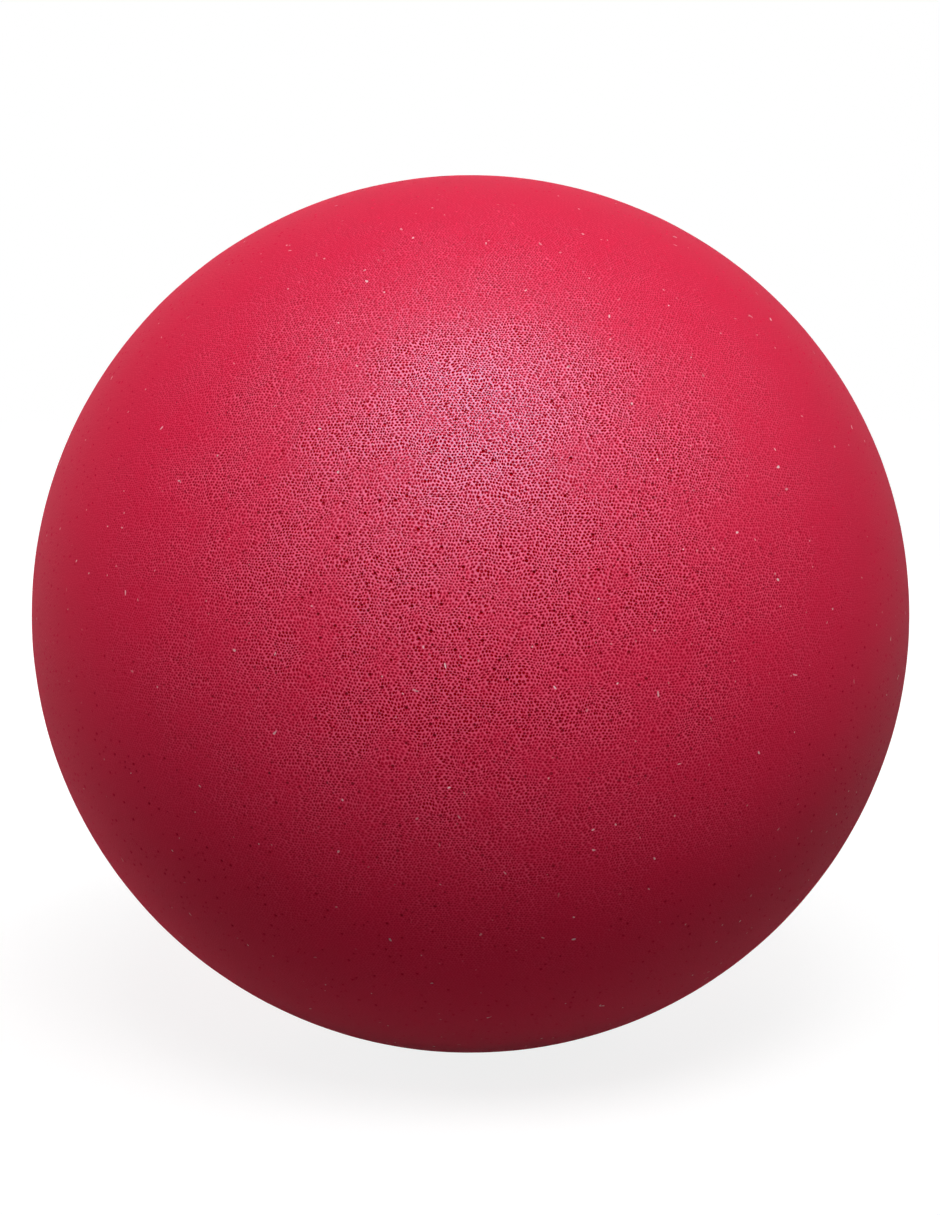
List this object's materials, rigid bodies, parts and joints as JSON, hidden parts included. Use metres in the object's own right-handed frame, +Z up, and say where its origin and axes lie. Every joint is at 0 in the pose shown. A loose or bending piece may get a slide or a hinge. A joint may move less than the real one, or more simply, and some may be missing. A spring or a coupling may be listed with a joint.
{
  "type": "foam ball",
  "caption": "Plain round play ball of soft moulded foam with a fine open-pored skin, a low parting line round the middle and a trimmed gate mark at the rear.",
  "frame": {"origin": "centre of the ball", "axes": "+Y along the mould axis, from the pole of the front half skin to the pole of the rear one, where the gate mark is; +Z up; the parting line lies in the XZ plane"},
  "size_m": [0.1784, 0.178, 0.1784],
  "materials": {
    "skin_foam": "matte",
    "core_foam": "matte"
  },
  "bodies": {
    "root": {"foam_core": "core_foam", "skin_front": "skin_foam", "skin_rear": "skin_foam"}
  },
  "joints": []
}
